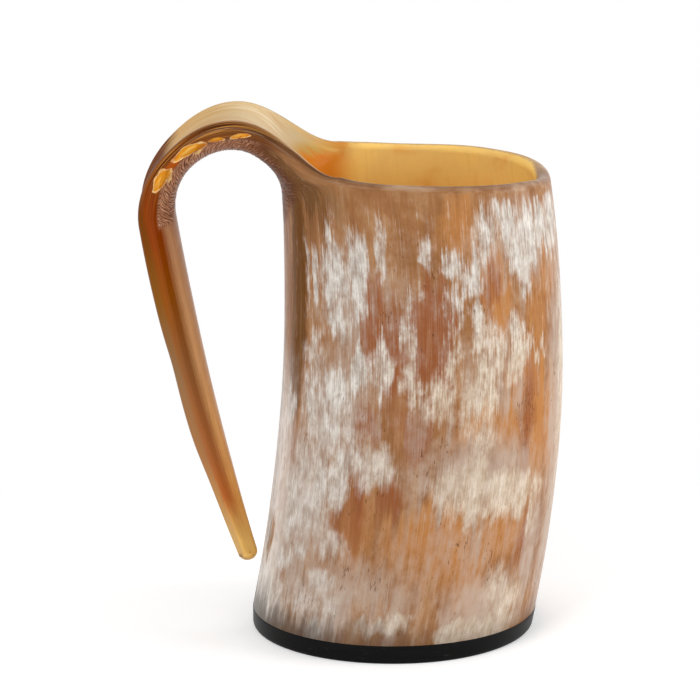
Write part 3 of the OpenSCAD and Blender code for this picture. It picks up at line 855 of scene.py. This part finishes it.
def skin_colour(n, grain, depth, arc, fibre, strand, swath):
    """Colour of the polished skin: tan to amber under clouds of pale fibres, and how pale it is."""
    x, y, length = n.split(grain)
    hair = streaks(n, grain, 0.3, 14, 1, shift=2.3)
    frost = streaks(n, grain, 0.42, 2.2, 2, 0.6, shift=7.3)
    brush = streaks(n, grain, 2.4, 30, 2, shift=3.1)
    drift = streaks(n, grain, 3.5, 8, 3, shift=5.7)
    cloud = streaks(n, grain, 2.6, 5, 4, 0.6, shift=9.1)
    arc_place = n.total((drift, 0.007), arc)
    calm = n.step(length, 0.092, 0.062, 0.35, 1)
    bristle = n.times(n.total((brush, 0.016), (strand, 0.01)), calm)
    ragged = n.join(arc_place, n.total(bristle, (drift, 0.008), length), 0)
    soft = n.join(arc_place, n.total((brush, 0.03), length), 0)
    colour = n.ramp(n.total((swath, 0.7), (cloud, 0.5), 0.5), (
        (0.34, (134, 88, 50)), (0.5, (150, 103, 64)), (0.66, (168, 126, 88)),
    ))
    tints = (
        (AMBER_SPOTS, (178, 118, 62), 0.85), (RUSSET_SPOTS, (140, 80, 46), 0.9),
        (UMBER_SPOTS, (98, 62, 28), 0.88),
    )
    for spots, tint, most in tints:
        field = n.total(patches(n, soft, spots), (strand, 0.6), (cloud, 0.7), (fibre, 0.2))
        colour = n.tint(colour, tint, n.step(field, -0.3, 0.7, most))
    for line, lean, tint in ((fibre, 0.8, (112, 70, 42)), (hair, -0.8, (200, 160, 124))):
        field = n.total(line, (brush, lean))
        colour = n.tint(colour, tint, n.step(field, 0, 0.3, 0.15))
    # Milky clouding, with painted light along the right side.
    haze_and_limb_light = patches(n, soft, HAZE_AND_LIMB_LIGHT_SPOTS)
    haze_and_limb_light = n.total(haze_and_limb_light, (brush, 1.4), (fibre, 0.5), (cloud, 1.2), (hair, 0.5))
    colour = n.tint(colour, (182, 166, 153), n.step(haze_and_limb_light, -0.2, 1.1, 0.7))
    # Painted light: on the left side, where the cup turns away from the camera, the colour is mixed toward
    # near white, standing in for the bright surroundings reflected there and the light falling on it.
    limb = n.times(
        n.step(n.total(x, (strand, 0.004)), -0.0355, -0.0405, 0.85),
        n.step(length, 0.1, 0.07), n.step(y, 0.016, -0.004),
        n.step(patches(n, soft, LIMB_SHADOW_SPOTS), 0.4, -0.1),
    )
    painted_edge_light = n.ramp(n.total((cloud, 0.9), (hair, 0.5), (strand, 0.5), 0.5), (
        (0.3, (206, 194, 184)), (0.5, (232, 224, 216)), (0.7, (242, 238, 232)),
    ))
    colour = n.mix(limb, colour, painted_edge_light)
    lines = n.times(n.total((fibre, 0.7), (hair, 0.8)), calm)
    grains = n.total((cloud, 0.9), (frost, 0.8), (lines, 1.3))
    grains = n.times(grains, n.step(length, 0.066, 0.09, 1, 0.6))
    cover = patches(n, ragged, PALE_SPOTS)
    cover = n.total(cover, grains, (n.step(depth, -0.16, 0.02), -1.2))
    pale = n.times(n.step(cover, -0.5, 0.85), n.step(length, 0.062, 0.092, 0.92, 0.8))
    cream = n.ramp(n.total((cloud, 1.1), (hair, 0.4), (fibre, 0.35), (frost, 0.4), 0.5), (
        (0.3, (168, 155, 144)), (0.5, (196, 188, 179)), (0.7, (222, 217, 209)),
    ))
    warm = n.times(n.step(x, -0.021, 0.006, 0.3), n.step(length, 0.12, 0.09))
    colour = n.mix(pale, colour, n.tint(cream, (214, 178, 124), warm))
    flecks = streaks(n, grain, 0.45, 2.2, 1)
    spread = streaks(n, grain, 8, 20)
    dark = n.step(n.total(flecks, (spread, 0.6), (pale, -0.1)), 0.2, 0.3, 0.7)
    colour = n.tint(colour, (88, 50, 24), dark, n.step(length, 0.142, 0.125))
    # Painted shade: a grey-brown band just above the base, strongest on the handle's side.
    painted_foot_shade = n.times(
        n.step(n.total((brush, 0.018), (drift, 0.008), length), 0.016, 0.008),
        n.step(x, -0.028, -0.012, 0.4, 0.7), n.step(x, -0.002, 0.012, 0.3, 1),
    )
    return n.tint(colour, (88, 78, 70), painted_foot_shade), pale


def bore_colour(n, grain, length, strand):
    """Colour of the cup's inside: honey yellow, more orange further down and below the handle, written
    bright as painted glow of light through the horn's wall.
    """
    cloud = n.noise(n.vector("MULTIPLY", grain, (80, 80, 60)), 3)
    # Written bright and saturated: painted glow of light through the wall.
    honey = n.ramp(n.step(length, 0.02, 0.15), (
        (0, (236, 124, 0)), (0.6, (255, 158, 0)), (0.9, (242, 178, 62)), (1, (236, 196, 114)),
    ))
    honey = n.tint(honey, (248, 204, 104), n.step(cloud, 0.45, 0.66, 0.5))
    honey = n.tint(honey, (222, 136, 22), n.step(cloud, 0.5, 0.32, 0.5))
    under_handle = n.times(n.split(grain)[0], -1 / MM / (GRAIN_RADIUS - GRAIN_WALL))
    below = n.step(under_handle, 0.35, 0.7)
    honey = n.tint(honey, (174, 136, 70), n.step(length, 0.144, 0.149, 0.85), below)
    honey = n.tint(honey, (190, 168, 128), n.step(length, 0.1495, 0.1535), below)
    border = n.total(length, (strand, 0.006), (cloud, 0.01), -0.005)
    # Painted glow: deep orange below the handle.
    glow = n.step(length, 0.118, 0.142, 1, 0.3)
    honey = n.tint(honey, (204, 112, 0), n.step(border, 0.1495, 0.146), glow, below, 0.9)
    return n.tint(honey, (200, 132, 60), n.step(strand, 0, 0.3, 0.14))


# Colours along the handle, from the cup's rim to the tip: on top, on the edge and underneath
HANDLE_SHARES = (0, 0.08, 0.14, 0.18, 0.208, 0.34, 0.46, 0.6, 0.78, 0.875, 0.97)
TOP_SHARES = HANDLE_SHARES[:3] + (0.19, 0.222) + HANDLE_SHARES[5:]
TOP_COLOURS = (
    (190, 162, 124), (206, 180, 138), (200, 160, 100), (202, 162, 108), (104, 52, 10), (118, 63, 8),
    (132, 82, 24), (142, 105, 70), (168, 116, 72), (188, 138, 84), (210, 168, 108),
)
# The edge's last colour, at the tip, is written bright: painted light.
EDGE_COLOURS = (
    (92, 50, 18), (98, 54, 20), (114, 60, 18), (124, 58, 8), (128, 54, 2), (142, 58, 0),
    (148, 78, 10), (152, 95, 50), (174, 103, 53), (192, 108, 48), (242, 194, 110),
)
# Underneath, from the leg on, and at the tip the colours are written brighter: painted light where these
# faces turn from the lamps.
UNDER_COLOURS = (
    (84, 46, 18), (94, 54, 28), (136, 90, 66), (140, 92, 62), (150, 100, 68), (224, 166, 120),
    (236, 178, 125), (246, 186, 126), (252, 186, 112), (252, 186, 98), (252, 204, 116),
)


def handle_colour(n, grain, depth, length, fibre, strand):
    """Colour of the handle: honey on top, laminated brown on its edge and mauve brown underneath."""
    y = n.split(grain)[1]
    start, end = ROOT_HEIGHT * MM, (ROOT_HEIGHT + HANDLE_LENGTH) * MM
    share = n.add("MapRange", {0: n.total(length, (strand, 0.012)), 1: start, 2: end})
    top = n.ramp(share, tuple(zip(TOP_SHARES, TOP_COLOURS)))
    edge = n.ramp(share, tuple(zip(HANDLE_SHARES, EDGE_COLOURS)))
    under = n.ramp(share, tuple(zip(HANDLE_SHARES, UNDER_COLOURS)))
    bands = streaks(n, grain, 3, 110, 2)
    arch = n.step(length, 0.18, 0.168)
    top = n.tint(top, (238, 222, 192), n.step(bands, 0, 0.2, 0.36), arch)
    top = n.tint(top, (186, 124, 58), n.step(bands, 0, -0.2, 0.36), arch)
    near = n.times(n.step(depth, 1.35, 0.95), n.step(y, 0.006, -0.006), n.step(length, 0.198, 0.186))
    top = n.tint(top, (150, 108, 88), near, 0.6)
    top = n.tint(top, (126, 74, 36), near, n.step(length, 0.166, 0.177, 0.8))
    leg = n.step(length, 0.186, 0.204)
    plain = n.total((leg, -0.6), 0.7)
    wide = sheets(n, depth, length, 20, 30, 0, 3)
    edge = n.tint(edge, (200, 124, 44), n.step(wide, 0.5, 0.66, 0.6), plain)
    edge = n.tint(edge, (62, 30, 12), n.step(wide, 0.5, 0.34, 0.6), plain)
    thin = sheets(n, depth, length, 54, 45, 3, 2)
    cut = n.times(n.step(depth, 0.34, 0.46), n.step(length, 0.196, 0.184))
    edge = n.tint(edge, (206, 146, 70), n.step(thin, 0.53, 0.61, 0.8), cut)
    edge = n.tint(edge, (40, 18, 6), n.step(thin, 0.48, 0.4, 0.9), cut)
    torn = n.times(
        n.step(length, 0.1815, 0.1835), n.step(length, 0.1885, 0.1865), n.step(y, 0.002, -0.002),
        n.step(n.total(depth, (strand, 0.3)), 0.5, 0.34),
    )
    edge = n.tint(edge, (176, 80, 8), torn, 0.85)
    edge = n.tint(edge, (44, 22, 10), n.attribute("layer"), 0.8)
    # Painted shade: the leg's under face is darker towards both its sides, leaving its crown light as a
    # painted rim light.
    beside = n.times(n.step(n.math("ABSOLUTE", y), 0.014, 0.034), leg, n.step(length, 0.3, 0.27))
    under = n.mix(beside, under, (0.6, 0.46, 0.3, 1), "MULTIPLY")
    under = n.tint(under, (110, 66, 40), n.step(fibre, -0.2, 0.2, 0.2))
    place = n.total(depth, (fibre, 0.06), (strand, 0.1))
    colour = n.mix(n.step(n.total(place, (leg, 0.26), (torn, 0.1)), 0.08, 0.3), under, edge)
    return n.mix(n.step(n.total(place, (leg, 0.36)), 0.72, 0.94), colour, top)


def creased_colour(n, grain, length, creased, colour):
    """The wrinkled skin inside the bend: dark brown, with painted shade in its creases and a painted
    highlight in mauve on its ridges, by the wrinkles' height.
    """
    fine = streaks(n, grain, 5, 0.32, 2, shift=4.7)
    wrinkle = n.total(n.attribute("wrinkle"), (fine, 2.2))
    along_bend = n.step(length, 0.15, 0.18)
    brown = n.tint(srgb(90, 50, 26), (184, 126, 92), along_bend)
    painted_ridge_highlight = n.tint(srgb(144, 98, 72), (232, 184, 152), along_bend)
    # Painted highlight on the ridges and painted shade in the creases, following the wrinkles' height.
    brown = n.mix(n.step(wrinkle, 0, 0.7, 0.8), brown, painted_ridge_highlight)
    brown = n.tint(brown, (88, 46, 24), n.step(wrinkle, 0.05, -0.5, 0.8))
    return n.mix(n.times(creased, 0.92), colour, brown)


def chip_colour(n, fibre, strand, colour):
    """The chips in the handle's edge: golden inside, with a pale broken border."""
    chip = n.attribute("chip")
    gold = n.ramp(n.total(strand, (fibre, 0.6), (chip, 0.3), 0.35), (
        (0.2, (184, 94, 4)), (0.5, (218, 140, 24)), (0.8, (232, 180, 84)),
    ))
    colour = n.mix(n.step(chip, -0.12, 0.1), colour, gold)
    border = n.times(n.step(chip, -0.12, 0.04), n.step(chip, 0.34, 0.12))
    return n.tint(colour, (238, 202, 142), border, n.step(strand, -0.15, 0.1, 0.9, 0.2))


def horn_material():
    """Skin, bore, rim and handle, with the wrinkles and chips over them."""
    n = Nodes(bpy.data.materials.new("horn"))
    grain = n.attribute("grain", "Vector")
    depth = n.attribute("depth")
    creased = n.attribute("creased")
    x, y, length = n.split(grain)
    arc = n.times(n.math("ARCTAN2", x, n.times(y, -1)), GRAIN_RADIUS * MM)
    fibre = streaks(n, grain, 0.5, 8)
    strand = streaks(n, grain, 1.6, 18, 3, 0.55)
    swath = streaks(n, grain, 6, 34, 2)
    skin, pale = skin_colour(n, grain, depth, arc, fibre, strand, swath)
    rim = n.ramp(n.total(swath, 0.5), (
        (0.35, (126, 92, 66)), (0.5, (144, 113, 90)), (0.65, (168, 142, 120)),
    ))
    # At the front corner by the neck the rim is darkened into laminated layers: partly the horn's own
    # layers, partly painted shade.
    corner = n.times(n.step(x, -0.004, -0.02), n.step(y, 0.01, -0.01))
    dark = n.ramp(sheets(n, depth, length, 40, 45, 3, 2), (
        (0.36, (38, 18, 6)), (0.5, (70, 38, 14)), (0.64, (128, 88, 52)),
    ))
    rim = n.mix(n.times(corner, 0.92), rim, dark)
    far = n.step(y, -0.005, 0.015)
    # Painted highlight: the far rim is lighter.
    rim = n.tint(rim, (196, 158, 106), far, 0.7)
    inward = n.total(depth, (strand, 0.2), (far, 0.25), (corner, -0.1))
    # Painted highlight: a pale line along the top of the near rim at the front corner.
    crest = n.times(n.step(inward, 0.42, 0.58), corner, 0.8)
    rim = n.tint(rim, (206, 166, 122), crest)
    cup = n.mix(n.step(inward, -0.05, 0.5), skin, rim)
    cup = n.mix(n.step(inward, 0.76, 0.98), cup, bore_colour(n, grain, length, strand))
    over = handle_colour(n, grain, depth, length, fibre, strand)
    colour = n.mix(n.step(n.attribute("handle"), 0.2, 0.8), cup, over)
    colour = creased_colour(n, grain, length, creased, colour)
    n.put("Base Color", chip_colour(n, fibre, strand, colour))
    n.put("Roughness", n.total((pale, 0.12), (strand, 0.12), (fibre, 0.12), 0.3))
    n.put("Specular IOR Level", 0.02)
    outer = n.times(n.step(depth, 0.4, 0.8), n.step(length, 0.165, 0.182))
    gloss = n.times(
        n.step(creased, 0, 0.6, 0.02, 0.14), n.step(depth, 0.3, 1.1, 0.3, 1),
        n.math("SUBTRACT", 1, outer),
    )
    n.put("Coat Weight", gloss)
    n.put("Coat Roughness", 0.12)
    n.put("Normal", n.bump(n.total(fibre, strand), 0.00008))
    return n.owner


def base_material():
    """Satin black with fine sanding lines round it and a few grey scuffs."""
    n = Nodes(bpy.data.materials.new("base"))
    place = n.add("TexCoord", {}, "Object")
    lines = n.noise(n.vector("MULTIPLY", place, (60, 60, 2600)), 2)
    scuffs = n.noise(n.vector("MULTIPLY", place, (240, 240, 700)), 4, 0.65)
    wear = n.step(scuffs, 0.6, 0.74, 0.5)
    colour = n.tint(srgb(5, 5, 5), (10, 10, 10), n.step(lines, 0.35, 0.65))
    n.put("Base Color", n.tint(colour, (46, 44, 42), wear))
    n.put("Roughness", n.total((lines, 0.15), (wear, 0.3), 0.32))
    n.put("Specular IOR Level", 0.08)
    n.put("Normal", n.bump(n.total((lines, 0.5), scuffs), 0.00006))
    return n.owner


def glue_material():
    """Clear amber glue with small bubbles."""
    n = Nodes(bpy.data.materials.new("glue"))
    place = n.add("TexCoord", {}, "Object")
    cloud = n.noise(n.vector("MULTIPLY", place, (160, 160, 160)), 3)
    bubbles = n.noise(n.vector("MULTIPLY", place, (1400, 1400, 1400)), 1)
    colour = n.ramp(cloud, ((0.35, (122, 70, 24)), (0.65, (164, 108, 52))))
    n.put("Base Color", n.tint(colour, (206, 166, 112), n.step(bubbles, 0.64, 0.72, 0.6)))
    n.put("Roughness", n.step(cloud, 0.3, 0.7, 0.28, 0.12))
    n.put("Normal", n.bump(bubbles, 0.0001))
    return n.owner


make_piece("horn_cup_skin", *worn_horn(), "horn_cup", "horn", horn_material())
make_piece("base_plug_body", *base_mesh(), {}, "base_plug", "base", base_material())
make_piece("glue_seal_ring", *glue_mesh(), {}, "glue_seal", "glue", glue_material())

# Camera at the photograph's angle
CAMERA_ELEVATION = 14.6
CAMERA_DISTANCE = 1240
CAMERA_TARGET = (-14, 0, 85)
CAMERA_ROLL = 0.36
PICTURE_SIZE = 700
TARGET_PIXEL = (349, 364)
PIXEL_SIZE = 0.3154
SENSOR = 36

# Floor, lamps and world, in metres and watts
FLOOR_HALF = 6
FLOOR_COLOUR = (0.9, 0.9, 0.9, 1)
FLOOR_FADE = (0.08, 0.2)
FLOOR_GLOW = 0.25
WORLD_LEVEL = 0.55
LAMP_SIZE = 0.8


def add_camera():
    data = bpy.data.cameras.new("camera")
    data.sensor_width = SENSOR
    data.lens = SENSOR * CAMERA_DISTANCE / (PIXEL_SIZE * PICTURE_SIZE)
    data.shift_x = 0.5 - TARGET_PIXEL[0] / PICTURE_SIZE
    data.shift_y = TARGET_PIXEL[1] / PICTURE_SIZE - 0.5
    data.clip_start, data.clip_end = 0.05, 20
    camera = add_object("camera", data)
    elevation = radians(CAMERA_ELEVATION)
    back = Vector((0, -cos(elevation), sin(elevation)))
    look = (-back).to_track_quat("-Z", "Y").to_matrix()
    look = look @ Matrix.Rotation(radians(-CAMERA_ROLL), 3, "Z")
    place = (Vector(CAMERA_TARGET) + back * CAMERA_DISTANCE) * MM
    camera.matrix_world = Matrix.Translation(place) @ look.to_4x4()
    bpy.context.scene.camera = camera


def add_lamp(name, place, target, power):
    data = bpy.data.lights.new(name, "AREA")
    data.size, data.energy = LAMP_SIZE, power
    lamp = add_object(name, data)
    lamp.location = place
    lamp.rotation_euler = (Vector(target) - Vector(place)).to_track_quat("-Z", "Y").to_euler()


def add_floor():
    """A pale floor that shows the cup's shadow and turns white further away."""
    n = Nodes(bpy.data.materials.new("floor"))
    corners = ((-1, -1), (1, -1), (1, 1), (-1, 1))
    mesh = bpy.data.meshes.new("floor")
    mesh.from_pydata([(FLOOR_HALF * a, FLOOR_HALF * b, 0) for a, b in corners], [], [(0, 1, 2, 3)])
    mesh.materials.append(n.owner)
    floor = add_object("floor", mesh)
    n.put("Base Color", FLOOR_COLOUR)
    n.put("Roughness", 0.8)
    n.put("Specular IOR Level", 0.2)
    n.put("Emission Color", (1, 1, 1, 1))
    seen = n.seen()
    n.put("Emission Strength", n.times(seen, FLOOR_GLOW))
    position = n.add("NewGeometry", {}, "Position")
    away = n.vector("LENGTH", position, output="Value")
    share = n.times(n.step(away, *FLOOR_FADE), seen)
    white = n.add("Emission", {})
    mixed = n.add("MixShader", {0: share, 1: n.shader.outputs[0], 2: white})
    n.feed(n.tree.nodes["Material Output"].inputs[0], mixed)


def add_world():
    world = bpy.data.worlds.new("world")
    bpy.context.scene.world = world
    n = Nodes(world, "Background")
    n.put("Color", (1, 1, 1, 1))
    n.put("Strength", n.add("MapRange", {0: n.seen(), 3: WORLD_LEVEL, 4: 1}))


add_camera()
add_world()
add_floor()
add_lamp("key", (-0.8, -1.1, 0.9), (0, 0, 0.08), 11)
add_lamp("fill", (1.2, -0.2, 0.4), (0, 0, 0.08), 11)
add_lamp("top", (0, 0.3, 1.2), (0, 0, 0.1), 2)

bpy.context.scene.view_settings.view_transform = "Standard"
